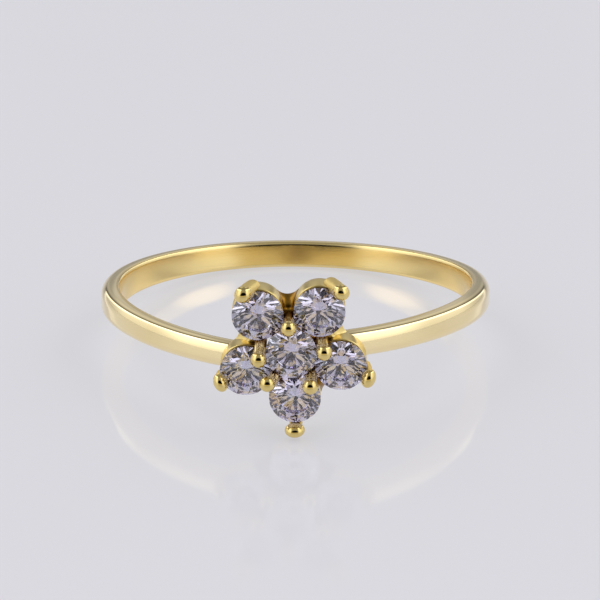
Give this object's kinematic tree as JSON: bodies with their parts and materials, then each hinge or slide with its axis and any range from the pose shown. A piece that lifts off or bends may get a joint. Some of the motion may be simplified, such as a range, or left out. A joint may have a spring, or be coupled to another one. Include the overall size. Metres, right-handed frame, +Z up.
{
  "type": "flower cluster finger ring",
  "caption": "Thin polished gold-coloured finger ring with a flower of round brilliants, one in the middle and petals round it, in ball-tipped prongs.",
  "frame": {"origin": "middle of the resting ring's outline, on the surface that it lies on", "axes": "+Z up from that surface, -Y towards the flower's face, +X to the right of the flower seen from the front"},
  "size_m": [0.0192, 0.0213, 0.008],
  "materials": {
    "gold_plated_brass": "polished, pale yellow gold plate",
    "clear_stone": "faceted and polished cubic zirconia"
  },
  "bodies": {
    "root": {"band_and_setting": "gold_plated_brass", "stone_center": "clear_stone", "stone_petal_1": "clear_stone", "stone_petal_2": "clear_stone", "stone_petal_3": "clear_stone", "stone_petal_4": "clear_stone", "stone_petal_5": "clear_stone"}
  },
  "joints": []
}
